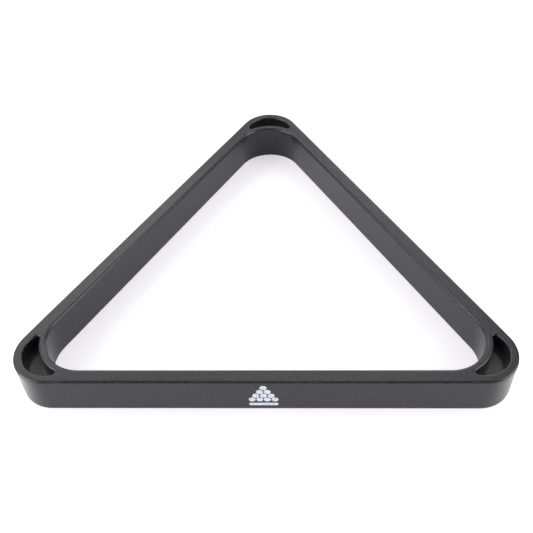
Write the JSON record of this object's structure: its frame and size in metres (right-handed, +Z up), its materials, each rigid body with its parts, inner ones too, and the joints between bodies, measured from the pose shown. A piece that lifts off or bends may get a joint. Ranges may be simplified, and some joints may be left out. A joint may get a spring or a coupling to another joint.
{
  "type": "triangle rack",
  "caption": "One-piece moulded plastic triangle rack with rounded corners and a blind crescent recess in the top of each corner, for setting up pool balls.",
  "frame": {"origin": "middle of the footprint's bounding box, on the surface that the rack lies on", "axes": "+Z up, the front rail with the printed mark along X on the -Y side, the far corner towards +Y"},
  "size_m": [0.328, 0.2908, 0.0297],
  "materials": {
    "black_plastic": "satin",
    "white_print": "matte"
  },
  "bodies": {
    "root": {"frame": "black_plastic", "front_mark": "white_print"}
  },
  "joints": []
}
